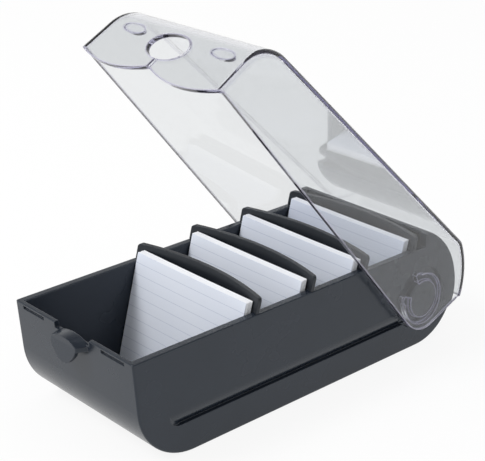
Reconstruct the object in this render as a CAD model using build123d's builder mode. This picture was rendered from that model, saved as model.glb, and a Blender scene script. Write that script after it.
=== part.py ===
"""Index card drawer: a flip-top box for landscape 74 x 52 mm record cards.

A dark moulded tray carries four bowed support plates with a pack of cards leaning on each.  A
clear lid snaps onto two trunnions near the tray's rear and swings up over them.  Millimetres,
+Z up, the front faces -Y, and the origin is the middle of the tray's length, on its flat base.
"""
from build123d import *
from math import acos, asin, cos, degrees, radians, sin, sqrt, tan
import os

# ---------------------------------------------------------------- cards
card_width = 74.0
card_height = 52.0
card_thickness = 0.32
card_pitch = 0.35             # cards stand this far apart, front to front
cards_per_pack = 10           # the foremost one is a node of its own
card_side_gap = 0.75          # each side, between the cards and the tray wall
card_lean = 16.0              # degrees back from upright
card_to_plate = 0.3

# ---------------------------------------------------------------- tray
tray_length = 190.0           # front rim to the rearmost point
tray_wall = 2.3               # front and rear
floor_thickness = 3.8
side_wall = 3.75              # thick enough for the panel and the hinge seat sunk into it
rim_height = 49.5
rim_chamfer = 0.4
front_rake = 3.6              # degrees, the front wall leans back towards its foot
front_foot_radius = 28.0
rear_radius = 25.0            # rear wall, round the hinge axis
rear_top_set = 6.4            # the rear wall's top edge lies this far behind the hinge axis
rear_wall_rise = 6.4          # rear wall above the rim
rear_lip = 2.0                # thickness of its upright top
rear_step = 3.0               # the side walls step up this far behind the hinge axis
outer_edge_radius = 0.8
panel_ledge = 14.0            # lower edge of the sunk side panel, above the base
panel_depth = 2.2
panel_rise = 6.5              # the side bends inwards over this height, down to the ledge
panel_start = 17.0            # behind the front rim
panel_ramp = 7.0              # length over which it reaches its depth
panel_turn = 5.4              # radius of its front end

# ---------------------------------------------------------------- front rim
thumb_cut_half = 12.3
thumb_cut_depth = 2.9
tongue_reach = 4.5            # in front of the rim, at its top
tongue_lean = 6.0             # degrees, its tip stands further forward than its top
tongue_half_front = 8.9
tongue_half_rear = 11.2
tongue_rise = 2.6             # height of its arch
tongue_below_rim = 0.8
tongue_body = 1.9             # solid depth under the ends of the arch
tongue_drop = 9.0             # length of the face below the ends of the arch
tongue_face = 1.8             # thickness of the hanging face
tongue_root = 1.5             # how far the tongue reaches into the wall
catch_inner = 20.2            # rim pockets, from and to this distance off the centre line
catch_outer = 35.8
catch_below_rim = 0.9
catch_height = 1.6
catch_depth = 0.9

# ---------------------------------------------------------------- hinge
trunnion_radius = 9.0
trunnion_clearance = 0.05     # radial, running fit in the clip
trunnion_edge = 0.5
trunnion_root = 1.0           # how far it reaches into the tray's side
clip_wall = 3.0
clip_mouth = 25.0             # degrees, half of the clip's opening
clip_lip_radius = 2.0         # rounded lips at the ends of the clip
clip_lip_out = 1.3            # from the middle of its wall to the middle of a lip
clip_lip_turn = 6.0           # degrees, from the mouth to the middle of a lip
hinge_side_gap = 0.4          # between the clip and the tray, and the trunnion and the lid
hinge_seat_depth = 1.5        # round recess in the tray's side for the clip
hinge_seat_gap = 1.2          # radial, round the clip

# ---------------------------------------------------------------- lid
lid_open = 45.0               # degrees, as it stands
lid_wall = 2.3
lid_over_rear_wall = 1.1      # inside height above the tray's rear wall
lid_rear_gap = 0.4
lid_side_gap = 0.5            # inside, between the lid's top corners and the tray's sides
lid_side_draft = 2.6          # degrees
lid_front_reach = 9.7         # lower front corner, ahead of the tray's rim
lid_corner_below_rim = 19.0
lid_front_rake = 16.0         # degrees
lid_front_radius = 18.5
lid_edge_fall = 6.6           # degrees, the lower edge falls towards the hinge
lid_rear_end = 30.0           # degrees above the hinge, where the rear wall stops
lid_back_radius = 7.0
lid_edge_radius = 3.0
lobe_depth = 4.8              # scallops of the front edge
finger_hole_width = 23.2      # clears the tongue, which stands in it when the lid is shut
finger_hole_height = 14.4
finger_hole_below_rim = 7.3   # its centre
finger_slit = 1.0
bump_off_centre = 28.4
bump_width = 13.5
bump_height = 4.8
bump_below_rim = 3.2
bump_rim_gap = 0.7            # between the bump's tip and the tray's front
bump_edge = 0.6

# ---------------------------------------------------------------- support plates
plate_count = 4
plate_pitch = 31.6
plate_last_set = 3.8          # top of the last plate's ears, ahead of the hinge axis
plate_thickness = 1.8
plate_bow = 6.0
plate_side_gap = 0.45
plate_corner = 1.5
ear_inset = 0.3               # from the tray's sides
ear_height = 6.6
ear_gap = 0.1                 # above the rim
foot_gap = 0.3                # above the tray's floor

# ---------------------------------------------------------------- derived
inner_half = card_width / 2 + card_side_gap
tray_half = inner_half + side_wall
front_y = -tray_length / 2
hinge_y = tray_length / 2 - rear_radius
hinge_z = rear_radius
rear_top = rim_height + rear_wall_rise
rear_run = rear_radius - rear_top_set
rear_arc = (rear_run ** 2 + (rear_top - hinge_z) ** 2) / (2 * rear_run)
rear_shoulder = rear_arc - rear_radius    # the upper rear arc is struck this far ahead of the hinge
clip_inner = trunnion_radius + trunnion_clearance
clip_outer = clip_inner + clip_wall
clip_lip_reach = (clip_inner + clip_outer) / 2 + clip_lip_out
seat_radius = clip_lip_reach + clip_lip_radius + hinge_seat_gap
seat_face = tray_half - hinge_seat_depth
panel_top = panel_ledge + panel_rise
lid_top = rear_top + lid_over_rear_wall + lid_wall
draft = radians(lid_side_draft)
lid_half_at_top = tray_half + lid_side_gap + lid_wall / cos(draft)
lid_half_at_hinge = lid_half_at_top + (lid_top - hinge_z) * tan(draft)
lid_corner_z = rim_height - lid_corner_below_rim
lid_corner_y = front_y - lid_front_reach
lobe_half = (lid_half_at_top + (lid_top - lid_corner_z) * tan(draft)) / 2
ear_half = tray_half - ear_inset
lid_rear_outer = rear_radius + lid_rear_gap + lid_wall
bottom = -hinge_z                         # the lid's block is drawn down to here before its edge is cut
overall = 400.0                           # longer than anything it cuts


# ======================================================================= tray
def tray_outline(shrink, floor, top, lip):
    """Lines of the tray's side view, moved in by shrink; lip is the rear wall's upright top."""
    slope = tan(radians(front_rake))
    front = front_y + shrink / cos(radians(front_rake))
    high = rear_radius + rear_shoulder - shrink
    centre_y = hinge_y - rear_shoulder
    rear = hinge_y + rear_top_set - lip
    turn = acos((rear - centre_y) / high)
    low = rear_radius - shrink
    low_turn = asin((hinge_z - floor) / low)
    CenterArc((hinge_y, hinge_z), low, -degrees(low_turn), degrees(low_turn))
    CenterArc((centre_y, hinge_z), high, 0, degrees(turn))
    front_top = (front - (top - rim_height) * slope, top)
    toe = (front + (rim_height - floor) * slope, floor)
    Line((hinge_y + low * cos(low_turn), floor), toe)
    Line(toe, front_top)
    if lip:
        Polyline(front_top, (rear, top), (rear, hinge_z + high * sin(turn)))
    else:
        step_y = hinge_y + rear_step
        Polyline(front_top, (step_y, rim_height), (step_y, rear_top), (rear, rear_top))
    return toe


with BuildPart() as tray:
    # shell: the side view drawn twice, outside and inside
    with BuildSketch(Plane.YZ) as outside:
        with BuildLine():
            toe_point = tray_outline(0, 0, rim_height, 0)
        make_face()
        fillet(outside.vertices().sort_by_distance(toe_point)[0], front_foot_radius)
    extrude(amount=tray_half, both=True)
    flanks = tray.faces().sort_by(Axis.X)[0].edges() + tray.faces().sort_by(Axis.X)[-1].edges()
    fillet([e for e in flanks if e.center().Z < rim_height - rim_chamfer], outer_edge_radius)
    with BuildSketch(Plane.YZ) as inside:
        with BuildLine():
            toe_point = tray_outline(tray_wall, floor_thickness, rear_top + tray_wall, rear_lip)
        make_face()
        fillet(inside.vertices().sort_by_distance(toe_point)[0], front_foot_radius - floor_thickness)
    extrude(amount=inner_half, both=True, mode=Mode.SUBTRACT)
    rim = tray.faces().filter_by(Axis.Z).filter_by_position(Axis.Z, rim_height - 0.1, rim_height + 0.1)
    chamfer([e for e in rim.edges() if e.center().Y < hinge_y], rim_chamfer)

    # thumb cut in the front rim, and the tongue standing in it
    with Locations((0, front_y, rim_height)):
        Box(2 * thumb_cut_half, 4 * tray_wall, 2 * thumb_cut_depth, mode=Mode.SUBTRACT)
    arch_end = rim_height - tongue_below_rim - tongue_rise
    arch_top = rim_height - tongue_below_rim
    for arch_half, arch_y in ((tongue_half_rear, front_y + tongue_root),
                              (tongue_half_front, front_y - tongue_reach)):
        with BuildSketch(Plane.XZ.offset(-arch_y)):
            with BuildLine():
                ThreePointArc((-arch_half, arch_end), (0, arch_top), (arch_half, arch_end))
                Polyline((arch_half, arch_end), (arch_half, arch_end - tongue_body),
                         (-arch_half, arch_end - tongue_body), (-arch_half, arch_end))
            make_face()
    loft()
    face_plane = Plane(origin=(0, front_y - tongue_reach, arch_end), x_dir=(1, 0, 0),
                       z_dir=(0, -cos(radians(tongue_lean)), sin(radians(tongue_lean))))
    with BuildSketch(face_plane):
        with BuildLine():
            ThreePointArc((-tongue_half_front, 0), (0, tongue_rise), (tongue_half_front, 0))
            shoulder = (tongue_half_front * 2 / 3, -tongue_drop * 2 / 3)
            Spline((tongue_half_front, 0), shoulder, (0, -tongue_drop), tangents=[(0, -1), (-1, 0)])
            Spline((0, -tongue_drop), (-shoulder[0], shoulder[1]), (-tongue_half_front, 0),
                   tangents=[(-1, 0), (0, 1)])
        make_face()
    extrude(amount=-tongue_face)

    # pockets under the front rim
    catch_middle = (catch_inner + catch_outer) / 2
    with Locations((catch_middle, front_y, rim_height - catch_below_rim - catch_height / 2),
                   (-catch_middle, front_y, rim_height - catch_below_rim - catch_height / 2)):
        Box(catch_outer - catch_inner, 2 * catch_depth, catch_height, mode=Mode.SUBTRACT)

for side in (1, -1):
    wall = side * tray_half
    # ledge along the side, under the inward bend: end view, plan and side view, intersected
    with BuildPart() as panel:
        with BuildSketch(Plane.XZ):
            with BuildLine():
                bend = (panel_depth ** 2 + panel_rise ** 2) / (2 * panel_depth)
                half_turn = asin(panel_rise / bend) / 2
                ThreePointArc((wall - side * panel_depth, panel_ledge),
                              (wall - side * bend * (1 - cos(half_turn)),
                               panel_top - bend * sin(half_turn)),
                              (wall, panel_top))
                Polyline((wall, panel_top), (wall + side, panel_top), (wall + side, panel_ledge),
                         (wall - side * panel_depth, panel_ledge))
            make_face()
        extrude(amount=overall, both=True)
        with BuildSketch(Plane.XY):
            with BuildLine():
                Polyline((wall, front_y + panel_start),
                         (wall - side * panel_depth, front_y + panel_start + panel_ramp),
                         (wall - side * panel_depth, hinge_y), (wall + side, hinge_y),
                         (wall + side, front_y + panel_start), (wall, front_y + panel_start))
            make_face()
        extrude(amount=overall, both=True, mode=Mode.INTERSECT)
        with BuildSketch(Plane.YZ) as view:
            with BuildLine():
                Polyline((front_y + panel_start, panel_top), (front_y + panel_start, panel_ledge),
                         (hinge_y, panel_ledge), (hinge_y, panel_top),
                         (front_y + panel_start, panel_top))
            make_face()
            corner = view.vertices().sort_by_distance((front_y + panel_start, panel_ledge))[0]
            fillet(corner, panel_turn)
        extrude(amount=overall, both=True, mode=Mode.INTERSECT)
    with tray:
        add(panel.part, mode=Mode.SUBTRACT)
        # hinge seat and trunnion
        with BuildSketch(Plane.YZ.offset(side * seat_face)):
            with Locations((hinge_y, hinge_z)):
                Circle(seat_radius)
        extrude(amount=side * 2 * hinge_seat_depth, mode=Mode.SUBTRACT)
        with BuildSketch(Plane.YZ.offset(side * (seat_face - trunnion_root))):
            with Locations((hinge_y, hinge_z)):
                Circle(trunnion_radius)
        trunnion_end = lid_half_at_hinge - lid_wall - hinge_side_gap
        extrude(amount=side * (trunnion_end - seat_face + trunnion_root))
        tip = tray.edges().filter_by(GeomType.CIRCLE).sort_by(Axis.X)[-1 if side > 0 else 0]
        chamfer(tip, trunnion_edge)

tray.part.label = "tray"
os.makedirs("parts", exist_ok=True)
export_step(tray.part, "parts/tray.step")


# ======================================================================= lid
def lid_block(shrink):
    """Closed lid as a solid block, moved in by shrink and open-ended below its lower edge."""
    rake = radians(lid_front_rake)
    top = lid_top - shrink
    centre_y = hinge_y - rear_shoulder
    radius = lid_rear_outer + rear_shoulder - shrink
    turn = asin((top - hinge_z) / radius)
    front_shift = lid_corner_y + shrink / cos(rake)
    front_top = (front_shift + (top - lid_corner_z) * tan(rake), top)
    back_top = (centre_y + radius * cos(turn), top)
    half_top = lid_half_at_top - shrink / cos(draft)
    half_bottom = half_top + (lid_top - bottom) * tan(draft)
    with BuildPart() as block:
        with BuildSketch(Plane.YZ) as view:
            with BuildLine():
                CenterArc((centre_y, hinge_z), radius, 0, degrees(turn))
                Polyline(back_top, front_top,
                         (front_shift + (bottom - lid_corner_z) * tan(rake), bottom),
                         (centre_y + radius, bottom), (centre_y + radius, hinge_z))
            make_face()
            fillet(view.vertices().sort_by_distance(front_top)[0], lid_front_radius - shrink)
            fillet(view.vertices().sort_by_distance(back_top)[0], lid_back_radius - shrink)
        extrude(amount=overall, both=True)
        with BuildSketch(Plane.XZ):
            with BuildLine():
                Polyline((-half_top, lid_top), (half_top, lid_top), (half_bottom, bottom),
                         (-half_bottom, bottom), (-half_top, lid_top))
            make_face()
        extrude(amount=overall, both=True, mode=Mode.INTERSECT)
        flanks = block.faces().sort_by(Axis.X)[0].edges() + block.faces().sort_by(Axis.X)[-1].edges()
        fillet([e for e in flanks if e.center().Z > bottom + lid_wall], lid_edge_radius - shrink)
    return block.part


fall = radians(lid_edge_fall)
panel_back_y = lid_corner_y + lid_wall / cos(radians(lid_front_rake))
edge_under_hinge = lid_corner_z - (hinge_y - lid_corner_y) * tan(fall)
lobe_radius = (hinge_z - edge_under_hinge) * cos(fall)
rear_end = radians(lid_rear_end)
rear_inner = lid_rear_outer - lid_wall
lobe_leave = rear_end - acos(lobe_radius / rear_inner)
lobe_start = radians(-90) - fall


def round_hinge(radius, angle):
    """Point of the side view at this radius and angle from the hinge axis."""
    return (hinge_y + radius * cos(angle), hinge_z + radius * sin(angle))


with BuildPart() as closed_lid:
    add(lid_block(0))
    add(lid_block(lid_wall), mode=Mode.SUBTRACT)

    # lower edge: straight along the sides, round the hinge, up to the rear wall's end
    with BuildSketch(Plane.YZ):
        with BuildLine():
            ThreePointArc(round_hinge(lobe_radius, lobe_start),
                          round_hinge(lobe_radius, (lobe_start + lobe_leave) / 2),
                          round_hinge(lobe_radius, lobe_leave))
            Polyline(round_hinge(lobe_radius, lobe_leave), round_hinge(rear_inner, rear_end),
                     round_hinge(2 * rear_inner, rear_end), (hinge_y + 2 * rear_inner, 2 * lid_top),
                     (lid_corner_y - lid_wall, 2 * lid_top),
                     (lid_corner_y - lid_wall, lid_corner_z - lobe_depth),
                     (panel_back_y, lid_corner_z - lobe_depth),
                     (panel_back_y, lid_corner_z - (panel_back_y - lid_corner_y) * tan(fall)),
                     round_hinge(lobe_radius, lobe_start))
        make_face()
    extrude(amount=overall, both=True, mode=Mode.INTERSECT)

    # two lobes of the front edge, meeting in a point
    with BuildSketch(Plane.XZ.offset(-panel_back_y)):
        with BuildLine():
            low = lid_corner_z - lobe_depth
            ThreePointArc((-2 * lobe_half, lid_corner_z), (-lobe_half, low), (0, lid_corner_z))
            ThreePointArc((0, lid_corner_z), (lobe_half, low), (2 * lobe_half, lid_corner_z))
            beside = 2 * lobe_half + lid_wall
            Polyline((2 * lobe_half, lid_corner_z), (beside, lid_corner_z), (beside, low - lid_wall),
                     (-beside, low - lid_wall), (-beside, lid_corner_z), (-2 * lobe_half, lid_corner_z))
        make_face()
    extrude(amount=overall, mode=Mode.SUBTRACT)

    # finger hole over the tongue, and the slit below it that lets the lobes spread
    with BuildSketch(Plane.XZ.offset(-front_y)):
        with Locations((0, rim_height - finger_hole_below_rim)):
            Ellipse(finger_hole_width / 2, finger_hole_height / 2)
        with Locations((0, rim_height - finger_hole_below_rim)):
            Rectangle(finger_slit, lid_corner_below_rim, align=(Align.CENTER, Align.MAX))
    extrude(amount=2 * lid_front_reach, mode=Mode.SUBTRACT)

    # bumps that snap into the pockets of the front rim
    with BuildSketch(Plane.XZ.offset(bump_rim_gap - front_y)):
        with Locations((bump_off_centre, rim_height - bump_below_rim),
                       (-bump_off_centre, rim_height - bump_below_rim)):
            Ellipse(bump_width / 2, bump_height / 2)
    extrude(amount=1.5 * lid_wall)
    tips = closed_lid.faces().filter_by(Axis.Y).filter_by_position(
        Axis.Y, front_y - bump_rim_gap - 0.1, front_y - bump_rim_gap + 0.1)
    fillet(tips.edges(), bump_edge)

    # clips round the trunnions
    for side in (1, -1):
        clip_face = seat_face + hinge_side_gap
        with BuildSketch(Plane.YZ.offset(side * clip_face)) as clip:
            with Locations((hinge_y, hinge_z)):
                Circle(clip_outer)
                with PolarLocations(clip_lip_reach, 2, 180 - clip_mouth - clip_lip_turn,
                                    2 * (clip_mouth + clip_lip_turn), endpoint=True):
                    Circle(clip_lip_radius)
                Circle(clip_inner, mode=Mode.SUBTRACT)
                mouth = 2 * clip_outer * tan(radians(clip_mouth))
                Polygon((0, 0), (-2 * clip_outer, mouth), (-2 * clip_outer, -mouth),
                        align=None, mode=Mode.SUBTRACT)
        extrude(amount=side * (lid_half_at_hinge - lid_wall / 2 - clip_face))

with BuildPart() as lid:
    add(closed_lid.part.rotate(Axis((0, hinge_y, hinge_z), (1, 0, 0)), -lid_open))
lid.part.label = "lid"
export_step(lid.part, "parts/lid.step")

# ======================================================================= plates and cards
lean = radians(card_lean)
up_the_lean = (0, sin(lean), cos(lean))
plate_top = rim_height + ear_height
plate_foot = floor_thickness + foot_gap
plate_first_y = hinge_y - plate_last_set - (plate_count - 1) * plate_pitch
plate_depth = plate_thickness / cos(lean)
sheet_foot = plate_foot - plate_corner    # the bowed sheet is drawn past the plate on all sides
sheet_length = (plate_top + plate_corner - sheet_foot) / cos(lean)
sheet_half = ear_half + plate_corner
bow_radius = (ear_half ** 2 + plate_bow ** 2) / (2 * plate_bow)
sheet_bow = bow_radius - sqrt(bow_radius ** 2 - sheet_half ** 2)
card_depth = card_thickness / cos(lean)
bow_at_card = plate_bow * (1 - (card_width / 2 / ear_half) ** 2)

for number in range(1, plate_count + 1):
    top_y = plate_first_y + (number - 1) * plate_pitch
    middle_y = top_y - (plate_top - sheet_foot) * tan(lean) + plate_bow
    with BuildPart() as plate:
        with BuildSketch(Plane.XY.offset(sheet_foot)):
            with BuildLine():
                ThreePointArc((-sheet_half, middle_y - sheet_bow), (0, middle_y),
                              (sheet_half, middle_y - sheet_bow))
                Line((sheet_half, middle_y - sheet_bow),
                     (sheet_half, middle_y - sheet_bow + plate_depth))
                ThreePointArc((sheet_half, middle_y - sheet_bow + plate_depth),
                              (0, middle_y + plate_depth),
                              (-sheet_half, middle_y - sheet_bow + plate_depth))
                Line((-sheet_half, middle_y - sheet_bow + plate_depth),
                     (-sheet_half, middle_y - sheet_bow))
            make_face()
        extrude(amount=sheet_length, dir=up_the_lean)
        with BuildSketch(Plane.XZ) as front_view:
            with Locations((0, plate_foot)):
                Rectangle(2 * (inner_half - plate_side_gap), plate_top - plate_foot,
                          align=(Align.CENTER, Align.MIN))
            with Locations((0, plate_top)):
                Rectangle(2 * ear_half, ear_height - ear_gap, align=(Align.CENTER, Align.MAX))
            corners = front_view.vertices().group_by(Axis.Y)
            fillet(corners[0] + corners[-1], plate_corner)
        extrude(amount=overall, both=True, mode=Mode.INTERSECT)
    plate.part.label = f"divider_{number}"
    export_step(plate.part, f"parts/divider_{number}.step")

    rear_y = top_y + bow_at_card - card_to_plate - (plate_top - floor_thickness) * tan(lean)
    card_ys = [rear_y - card_depth / 2 - k * card_pitch / cos(lean) for k in range(cards_per_pack)]
    with BuildPart() as pack:
        with BuildSketch(Plane.XY.offset(floor_thickness)):
            with Locations([(0, y) for y in card_ys[:-1]]):
                Rectangle(card_width, card_depth)
        extrude(amount=card_height, dir=up_the_lean)
    pack.part.label = f"card_pack_{number}"
    export_step(pack.part, f"parts/card_pack_{number}.step")
    with BuildPart() as front_card:
        with BuildSketch(Plane.XY.offset(floor_thickness)):
            with Locations((0, card_ys[-1])):
                Rectangle(card_width, card_depth)
        extrude(amount=card_height, dir=up_the_lean)
    front_card.part.label = f"front_card_{number}"
    export_step(front_card.part, f"parts/front_card_{number}.step")
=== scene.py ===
"""Looks of the index card drawer, a flip-top card box with a clear lid, around its CAD model."""
from math import cos, radians, sin

import bpy
import numpy as np
from mathutils import Matrix, Vector


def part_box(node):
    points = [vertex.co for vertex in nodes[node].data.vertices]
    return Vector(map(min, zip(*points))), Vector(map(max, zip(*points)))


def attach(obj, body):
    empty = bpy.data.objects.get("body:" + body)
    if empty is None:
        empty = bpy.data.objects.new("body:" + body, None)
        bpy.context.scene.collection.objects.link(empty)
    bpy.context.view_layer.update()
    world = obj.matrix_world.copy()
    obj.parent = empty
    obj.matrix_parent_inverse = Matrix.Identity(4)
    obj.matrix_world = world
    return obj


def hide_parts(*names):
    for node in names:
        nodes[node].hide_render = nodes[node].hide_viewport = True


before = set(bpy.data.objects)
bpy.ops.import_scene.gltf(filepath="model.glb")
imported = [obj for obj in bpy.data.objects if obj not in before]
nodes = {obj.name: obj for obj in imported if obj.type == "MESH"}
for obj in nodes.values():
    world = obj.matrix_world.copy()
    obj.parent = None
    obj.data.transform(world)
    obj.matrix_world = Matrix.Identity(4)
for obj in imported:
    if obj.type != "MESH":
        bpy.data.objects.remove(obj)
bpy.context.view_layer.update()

# ---------------------------------------------------------------- tray
# The tray is one dark charcoal moulding of satin styrene.  Its faces carry the fine spark
# grain of the mould, and its thin rims carry a painted highlight: their edges are drawn paler.
spark_cells = 2600.0           # cells of the mould's fine grain in a metre
slow_waves = 45.0              # waves of gloss and colour in a metre
highlight_radius = 0.0006            # how far from an edge the rounding and the painted highlight reach, metres
highlight_spread = 9.0               # how strongly a turned edge takes the painted highlight
highlight_patches = 160.0            # patches of the painted highlight in a metre
grain_depth = 0.00002          # metres
grain_strength = 0.35


def feed(tree, socket, value):
    """Links a node output to an input socket, or sets a number or colour on it."""
    if isinstance(value, bpy.types.NodeSocket):
        tree.links.new(value, socket)
    else:
        socket.default_value = value


def put(tree, kind, **sockets):
    """Adds a node of that kind and feeds its named inputs."""
    node = tree.nodes.new(kind)
    for name, value in sockets.items():
        feed(tree, node.inputs[name.replace("_", " ")], value)
    return node


def group_of(name, inputs, outputs):
    """A node group with number inputs (name, start value) and outputs (name, socket type)."""
    tree = bpy.data.node_groups.new(name, "ShaderNodeTree")
    for label, start in inputs:
        given = tree.interface.new_socket(label, in_out="INPUT", socket_type="NodeSocketFloat")
        given.default_value = start
    for label, kind in outputs:
        tree.interface.new_socket(label, in_out="OUTPUT", socket_type=kind)
    return tree, tree.nodes.new("NodeGroupInput"), tree.nodes.new("NodeGroupOutput")


def maths(tree, operation, first, second):
    """One Math node; either side is a number or a node output."""
    node = tree.nodes.new("ShaderNodeMath")
    node.operation = operation
    feed(tree, node.inputs[0], first)
    feed(tree, node.inputs[1], second)
    return node.outputs[0]


def mould_grain():
    """Height of a moulded face: a fine noise of the given cell size over a soft, slow waviness.
    Mask is the slow noise alone, from 0 to 1, for colour and gloss that wander over a face."""
    tree, given, result = group_of(
        "mould_grain", (("Cells per metre", spark_cells), ("Waves per metre", slow_waves)),
        (("Height", "NodeSocketFloat"), ("Mask", "NodeSocketFloat")))
    where = tree.nodes.new("ShaderNodeTexCoord").outputs["Object"]
    fine = put(tree, "ShaderNodeTexNoise", Vector=where, Scale=given.outputs[0], Detail=2.0,
               Roughness=0.55)
    slow = put(tree, "ShaderNodeTexNoise", Vector=where, Scale=given.outputs[1], Detail=3.0,
               Roughness=0.5)
    tree.links.new(maths(tree, "ADD", fine.outputs[0], slow.outputs[0]), result.inputs["Height"])
    tree.links.new(slow.outputs[0], result.inputs["Mask"])
    return tree


def edge_rounding_and_highlight():
    """Normal is the face's own, rounded over the given radius; Mask is how far the two turn apart,
    so it is 1 along an edge and 0 on a flat face, broken up by a noise.  The mask places a painted
    highlight along edges."""
    tree, given, result = group_of(
        "edge_rounding_and_highlight", (("Radius", highlight_radius), ("Spread", highlight_spread)),
        (("Normal", "NodeSocketVector"), ("Mask", "NodeSocketFloat")))
    rounded = put(tree, "ShaderNodeBevel", Radius=given.outputs[0])
    rounded.samples = 4
    flat = tree.nodes.new("ShaderNodeNewGeometry").outputs["Normal"]
    dot = tree.nodes.new("ShaderNodeVectorMath")
    dot.operation = "DOT_PRODUCT"
    tree.links.new(rounded.outputs[0], dot.inputs[0])
    tree.links.new(flat, dot.inputs[1])
    off_flat = maths(tree, "SUBTRACT", 1.0, dot.outputs["Value"])
    turned = maths(tree, "MULTIPLY", off_flat, given.outputs[1])
    where = tree.nodes.new("ShaderNodeTexCoord").outputs["Object"]
    patchy = put(tree, "ShaderNodeTexNoise", Vector=where, Scale=highlight_patches, Detail=3.0)
    mask = tree.nodes.new("ShaderNodeClamp")
    tree.links.new(maths(tree, "MULTIPLY", turned, patchy.outputs[0]), mask.inputs[0])
    tree.links.new(rounded.outputs[0], result.inputs["Normal"])
    tree.links.new(mask.outputs[0], result.inputs["Mask"])
    return tree


grain_group = mould_grain()
edge_group = edge_rounding_and_highlight()


def use_group(tree, group, *values):
    """Places a node group in a material, with the values of its inputs in their order."""
    node = tree.nodes.new("ShaderNodeGroup")
    node.node_tree = group
    for socket, value in zip(node.inputs, values):
        socket.default_value = value
    return node


def blank_material(name):
    """A new material with its Principled shader alone; returns material, tree and shader."""
    material = bpy.data.materials.new(name)
    material.use_nodes = True
    tree = material.node_tree
    return material, tree, tree.nodes["Principled BSDF"]


def tint(tree, mask, dark, pale):
    """Colour from dark to pale by a mask, as a Mix node's output."""
    mix = tree.nodes.new("ShaderNodeMix")
    mix.data_type = "RGBA"
    tree.links.new(mask, mix.inputs["Factor"])
    for label, value in (("A", dark), ("B", pale)):
        socket = [s for s in mix.inputs if s.name == label and s.type == "RGBA"][0]
        feed(tree, socket, (*value, 1.0) if isinstance(value, tuple) else value)
    return [s for s in mix.outputs if s.type == "RGBA"][0]


def moulded_plastic(name, dark, pale, edge_highlight_colour, rough, rough_wander):
    """Satin moulding: colour wanders from dark to pale and edges go to a paler painted highlight
    colour;
    rough is its roughness, which wanders by half of rough_wander either way."""
    material, tree, shader = blank_material(name)
    grain = use_group(tree, grain_group, spark_cells, slow_waves)
    edge = use_group(tree, edge_group, highlight_radius, highlight_spread)
    body = tint(tree, grain.outputs["Mask"], dark, pale)
    # Painted highlight: along the edges the colour turns to the paler highlight colour.
    feed(tree, shader.inputs["Base Color"], tint(tree, edge.outputs["Mask"], body, edge_highlight_colour))
    centred = maths(tree, "SUBTRACT", grain.outputs["Mask"], 0.5)
    wander = maths(tree, "MULTIPLY", centred, rough_wander)
    feed(tree, shader.inputs["Roughness"], maths(tree, "ADD", wander, rough))
    bump = put(tree, "ShaderNodeBump", Strength=grain_strength, Distance=grain_depth,
               Height=grain.outputs["Height"], Normal=edge.outputs["Normal"])
    feed(tree, shader.inputs["Normal"], bump.outputs[0])
    shader.inputs["Specular IOR Level"].default_value = 0.44
    shader.inputs["Specular Tint"].default_value = (0.90, 0.95, 1.0, 1.0)
    return material


def dress(node, material):
    """Gives a CAD node one material."""
    nodes[node].data.materials.clear()
    nodes[node].data.materials.append(material)


# The paler edge colour is a painted highlight.
tray_plastic = moulded_plastic("tray_plastic", dark=(0.011, 0.015, 0.023), pale=(0.018, 0.024, 0.035),
                               edge_highlight_colour=(0.055, 0.062, 0.076), rough=0.26, rough_wander=0.14)
dress("tray", tray_plastic)

# ---------------------------------------------------------------- support plates
# Four thin bowed plates of the same styrene in a darker shade; their ears lie on the tray's
# rims, and their thin edges carry a painted highlight, drawn paler.
divider_plastic = moulded_plastic(
    "divider_plastic", dark=(0.006, 0.008, 0.012), pale=(0.010, 0.013, 0.018),
    edge_highlight_colour=(0.034, 0.038, 0.046), rough=0.36, rough_wander=0.16)
for number in range(1, 5):
    dress(f"divider_{number}", divider_plastic)

# ---------------------------------------------------------------- cards
# Packs of loose 74 x 52 mm record cards, cut from pale blue-white board and leaning on the
# plates.  The foremost card of each pack shows its printed rules; no two lie quite alike.
# Lengths are in metres.
card_lean = radians(16.0)
card_wide = 0.074
card_tall = 0.052
card_thick = 0.00029
card_pitch = 0.00035           # from one card to the next, square to the card
card_bow = 0.00018
loose_sideways = 0.00022
loose_turn = radians(0.12)
points_across, points_up = 9, 5
cards_behind = 9               # cards of a pack behind its ruled one
rule_pitch = 0.0050
rule_width = 0.00022
fibre_cells = 1400.0           # in a metre
cloud_cells = 38.0             # in a metre


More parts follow.
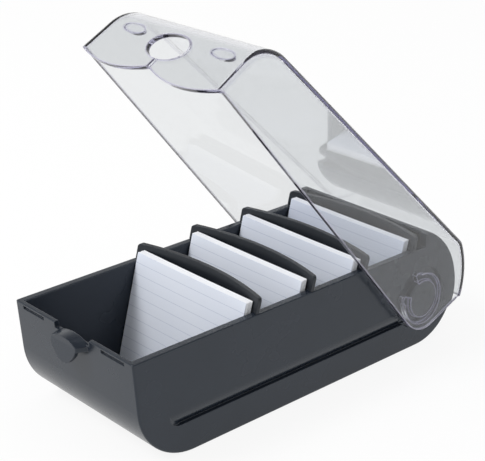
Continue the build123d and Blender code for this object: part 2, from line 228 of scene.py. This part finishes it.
def leaning_cards(count, foot_y, foot_z, seed):
    """Vertices and faces of a pack of cards.  A card is a front and a back sheet of points over
    width u (-1 to 1) and height v (0 to 1), half a thickness either side of its middle, which
    bows forward by bow (1 - u^2) v.  It leans back: y grows with its height times sin(lean), z
    with its height times cos(lean).  Each card lies a little loose by seeded amounts: it is
    shifted sideways, drifts sideways with height by sin(turn), and lies higher towards its sides
    by |u| times half its width times sin(turn)."""
    draw = np.random.default_rng(seed)
    u = np.linspace(-1.0, 1.0, points_across)[None, None, None, :]
    v = np.linspace(0.0, 1.0, points_up)[None, None, :, None]
    side = np.array([-0.5, 0.5])[None, :, None, None]
    card = np.arange(count)[:, None, None, None]
    shift = draw.uniform(-loose_sideways, loose_sideways, (count, 1, 1, 1))
    turn = draw.uniform(-loose_turn, loose_turn, (count, 1, 1, 1))
    bow = card_bow * draw.uniform(0.3, 1.0, (count, 1, 1, 1))
    wide = u * card_wide / 2
    tall = v * card_tall
    x = wide * np.cos(turn) + shift + tall * np.sin(turn)
    along = tall + np.abs(wide * np.sin(turn))
    depth = side * card_thick - card * card_pitch - bow * (1 - u ** 2) * v
    y = foot_y + depth / np.cos(card_lean) + along * np.sin(card_lean)
    z = foot_z + along * np.cos(card_lean)
    shape = np.broadcast_shapes(x.shape, y.shape, z.shape)
    points = np.stack([np.broadcast_to(a, shape) for a in (x, y, z)], axis=-1).reshape(-1, 3)
    index = np.arange(points.shape[0]).reshape(count, 2, points_up, points_across)
    front, back = index[:, 0], index[:, 1]

    def quads(a, b, c, d):
        return np.stack([a, b, c, d], axis=-1).reshape(-1, 4)

    faces = [quads(front[:, :-1, :-1], front[:, :-1, 1:], front[:, 1:, 1:], front[:, 1:, :-1]),
             quads(back[:, :-1, :-1], back[:, 1:, :-1], back[:, 1:, 1:], back[:, :-1, 1:]),
             quads(front[:, 0, 1:], front[:, 0, :-1], back[:, 0, :-1], back[:, 0, 1:]),
             quads(front[:, -1, :-1], front[:, -1, 1:], back[:, -1, 1:], back[:, -1, :-1]),
             quads(front[:, :-1, 0], front[:, 1:, 0], back[:, 1:, 0], back[:, :-1, 0]),
             quads(front[:, 1:, -1], front[:, :-1, -1], back[:, :-1, -1], back[:, 1:, -1])]
    return points, np.concatenate(faces)


def piece_from(name, points, faces, material):
    """A mesh object at the origin from whole arrays of points and faces."""
    mesh = bpy.data.meshes.new(name)
    mesh.from_pydata(points.tolist(), [], faces.tolist())
    mesh.materials.append(material)
    piece = bpy.data.objects.new(name, mesh)
    bpy.context.scene.collection.objects.link(piece)
    return piece


def card_board(name, ruled, shades, fleck):
    """Uncoated board: short fibres in colour and bump.  A ruled one has a thin blue-grey line in
    the middle of every step up the card; the way up a leaning card is its height over cos(lean)."""
    material, tree, shader = blank_material(name)
    where = tree.nodes.new("ShaderNodeTexCoord").outputs["Object"]
    fibres = put(tree, "ShaderNodeTexNoise", Vector=where, Scale=fibre_cells, Detail=4.0,
                 Roughness=0.65)
    cloudy = put(tree, "ShaderNodeTexNoise", Vector=where, Scale=cloud_cells, Detail=2.0)
    paper = tint(tree, cloudy.outputs[0], *shades)
    colour = tint(tree, maths(tree, "MULTIPLY", fibres.outputs[0], 0.25), paper, fleck)
    if ruled:
        parts = put(tree, "ShaderNodeSeparateXYZ", Vector=where)
        above_foot = maths(tree, "SUBTRACT", parts.outputs["Z"], card_foot_z)
        steps = maths(tree, "DIVIDE", maths(tree, "DIVIDE", above_foot, cos(card_lean)), rule_pitch)
        in_step = maths(tree, "FRACT", steps, 0.0)
        off_line = maths(tree, "ABSOLUTE", maths(tree, "SUBTRACT", in_step, 0.5), 0.0)
        line = maths(tree, "LESS_THAN", off_line, rule_width / rule_pitch / 2)
        soaked = maths(tree, "ADD", maths(tree, "MULTIPLY", fibres.outputs[0], 0.4), 0.35)
        colour = tint(tree, maths(tree, "MULTIPLY", line, soaked), colour, rule_ink)
    feed(tree, shader.inputs["Base Color"], colour)
    shader.inputs["Roughness"].default_value = 0.85
    shader.inputs["Specular IOR Level"].default_value = 0.3
    bump = put(tree, "ShaderNodeBump", Strength=0.3, Distance=0.00004, Height=fibres.outputs[0])
    feed(tree, shader.inputs["Normal"], bump.outputs[0])
    return material


card_foot_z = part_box("card_pack_1")[0].z
rule_ink = (0.36, 0.42, 0.56)
card_stock = card_board("card_stock", ruled=False, fleck=(0.80, 0.82, 0.86),
                        shades=((0.90, 0.91, 0.94), (0.94, 0.95, 0.97)))
ruled_card = card_board("ruled_card", ruled=True, fleck=(0.70, 0.75, 0.87),
                        shades=((0.79, 0.84, 0.95), (0.85, 0.89, 0.97)))
half_depth = card_pitch / cos(card_lean) / 2
for number in range(1, 5):
    for kind, count, stock in (("card_pack", cards_behind, card_stock), ("front_card", 1, ruled_card)):
        node = f"{kind}_{number}"
        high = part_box(node)[1]
        rearmost = high.y - card_tall * sin(card_lean) - half_depth
        points, faces = leaning_cards(count, rearmost, card_foot_z, seed=10 * number + count)
        cards = piece_from(f"cards_{node}", points, faces, stock)
        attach(cards, f"cards_{number}")
        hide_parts(node)

# ---------------------------------------------------------------- lid
# One clear injection moulding with a polished skin, snapped over the tray's trunnions.  The
# plastic has a faint violet-grey body tint, which only shows where one looks along its walls.
skin_ripples = 90.0            # in a metre
skin_waves = 30.0              # in a metre
skin_roughness = 0.02          # at most; it wanders down to none
edge_radius = 0.0012           # how far the cut edges' rounding and painted highlight reach, metres
edge_spread = 36.0
painted_highlight_share = 0.80               # share of painted highlight right on an edge
clear_plastic, tree, shader = blank_material("clear_plastic")
shader.inputs["Base Color"].default_value = (0.87, 0.885, 0.88, 1.0)
shader.inputs["Transmission Weight"].default_value = 1.0
shader.inputs["IOR"].default_value = 1.46
skin = use_group(tree, grain_group, skin_ripples, skin_waves)
feed(tree, shader.inputs["Roughness"], maths(tree, "MULTIPLY", skin.outputs["Mask"], skin_roughness))
ripple = put(tree, "ShaderNodeBump", Strength=0.04, Distance=0.0002, Height=skin.outputs["Mask"])
feed(tree, shader.inputs["Normal"], ripple.outputs[0])
# Painted highlight: a pale violet-grey dull shader mixed in along the cut edges stands in for the light
# that the edges catch.
edge = use_group(tree, edge_group, edge_radius, edge_spread)
painted_edge_highlight = put(tree, "ShaderNodeBsdfPrincipled", Base_Color=(0.64, 0.62, 0.78, 1.0),
                  Roughness=0.25, Normal=edge.outputs["Normal"])
output = tree.nodes["Material Output"]
body_tint = put(tree, "ShaderNodeVolumeAbsorption", Color=(0.40, 0.37, 0.66, 1.0), Density=20.0)
feed(tree, output.inputs["Volume"], body_tint.outputs[0])
through = put(tree, "ShaderNodeBsdfTransparent", Color=(0.90, 0.91, 0.92, 1.0))
path = tree.nodes.new("ShaderNodeLightPath")


def either_shader(tree, factor, first, second):
    """Mix Shader from the first to the second by a factor."""
    node = tree.nodes.new("ShaderNodeMixShader")
    for socket, value in zip(node.inputs, (factor, first, second)):
        feed(tree, socket, value)
    return node.outputs[0]


# The cut edges get their painted highlight.
# Light that falls on what is under the lid goes through it unbent, a little dimmed.
painted_highlight_mix = maths(tree, "MULTIPLY", edge.outputs["Mask"], painted_highlight_share)
surface = either_shader(tree, painted_highlight_mix, shader.outputs[0], painted_edge_highlight.outputs[0])
unbent = maths(tree, "MAXIMUM", path.outputs["Is Shadow Ray"], path.outputs["Is Diffuse Ray"])
feed(tree, output.inputs["Surface"], either_shader(tree, unbent, surface, through.outputs[0]))
dress("lid", clear_plastic)

# ---------------------------------------------------------------- stage
# A plain white floor, one soft lamp high at the front left, and a pale room whose ceiling is
# dim: upward faces mirror the ceiling and stay dark, upright ones mirror the white walls.
floor_half = 4.0               # metres
floor_whitening = 0.88         # share of plain white that the eye sees over the lit floor
floor_points = np.array([[-1, -1, 0], [1, -1, 0], [1, 1, 0], [-1, 1, 0]], float) * floor_half
floor_white, floor_tree, floor_shader = blank_material("floor_white")
floor_shader.inputs["Base Color"].default_value = (0.93, 0.93, 0.93, 1.0)
floor_shader.inputs["Roughness"].default_value = 0.9
floor_shader.inputs["Specular IOR Level"].default_value = 0.0
floor_glow = put(floor_tree, "ShaderNodeEmission", Strength=1.0)
path = floor_tree.nodes.new("ShaderNodeLightPath")
bent = maths(floor_tree, "MAXIMUM", path.outputs["Is Glossy Ray"], path.outputs["Is Transmission Ray"])
seen = maths(floor_tree, "MAXIMUM", path.outputs["Is Camera Ray"], bent)
whitened = maths(floor_tree, "MULTIPLY", seen, floor_whitening)
feed(floor_tree, floor_tree.nodes["Material Output"].inputs["Surface"],
     either_shader(floor_tree, whitened, floor_shader.outputs[0], floor_glow.outputs[0]))
floor = piece_from("floor", floor_points, np.array([[0, 1, 2, 3]]), floor_white)

world = bpy.data.worlds.new("pale_room")
bpy.context.scene.world = world
world.use_nodes = True
sky = world.node_tree
fill_strength = 0.73           # what lights the dull faces
ceiling_strength = 0.22        # what glossy faces mirror from above; the room's walls are 1
wall_top, ceiling_low = 0.10, 0.75      # height of a mirrored direction where walls end, ceiling begins
path = sky.nodes.new("ShaderNodeLightPath")
shown = maths(sky, "MAXIMUM", path.outputs["Is Camera Ray"], path.outputs["Is Transmission Ray"])
direction = sky.nodes.new("ShaderNodeTexCoord").outputs["Generated"]
towards = put(sky, "ShaderNodeSeparateXYZ", Vector=direction)
room = put(sky, "ShaderNodeMapRange", Value=towards.outputs["Z"], From_Min=wall_top,
           From_Max=ceiling_low, To_Min=1.0, To_Max=ceiling_strength)
room.interpolation_type = "SMOOTHSTEP"
over_fill = maths(sky, "SUBTRACT", room.outputs[0], fill_strength)
mirrored = maths(sky, "MULTIPLY", path.outputs["Is Glossy Ray"], over_fill)
lit = maths(sky, "ADD", mirrored, fill_strength)
sky_light = sky.nodes["Background"]
feed(sky, sky_light.inputs["Strength"], maths(sky, "MAXIMUM", shown, lit))
feed(sky, sky_light.inputs["Color"], (1.0, 1.0, 1.0, 1.0))

lamp_place = Vector((-0.55, -0.95, 1.25))
lamp_aim = Vector((0.0, 0.0, 0.05))
lamp_light = bpy.data.lights.new("key_lamp", "AREA")
lamp_light.size = 0.55
lamp_light.energy = 12.5
lamp = bpy.data.objects.new("key_lamp", lamp_light)
lamp.location = lamp_place
lamp.rotation_euler = (lamp_aim - lamp_place).to_track_quat("-Z", "Y").to_euler()
bpy.context.scene.collection.objects.link(lamp)

# ---------------------------------------------------------------- camera
# The camera stands at the front right, above the box, and looks down on it with a slight roll.
yaw = radians(49.20)
pitch = radians(22.75)
roll = radians(1.28)
focal_length = 104.30          # millimetres
sensor_width = 36.0            # millimetres
camera_place = (0.4359, -0.3775, 0.3082)
ahead = Vector((-sin(yaw) * cos(pitch), cos(yaw) * cos(pitch), -sin(pitch)))
level = Vector((cos(yaw), sin(yaw), 0.0))
under = ahead.cross(level)
right = level * cos(roll) + under * sin(roll)
down = under * cos(roll) - level * sin(roll)
lens = bpy.data.cameras.new("camera")
lens.lens = focal_length
lens.sensor_width = sensor_width
lens.sensor_fit = "HORIZONTAL"
lens.clip_start = 0.01
camera = bpy.data.objects.new("camera", lens)
facing = Matrix((right, -down, -ahead)).transposed().to_4x4()
camera.matrix_world = Matrix.Translation(camera_place) @ facing
bpy.context.scene.collection.objects.link(camera)
bpy.context.scene.camera = camera
bpy.context.scene.view_settings.view_transform = "Standard"
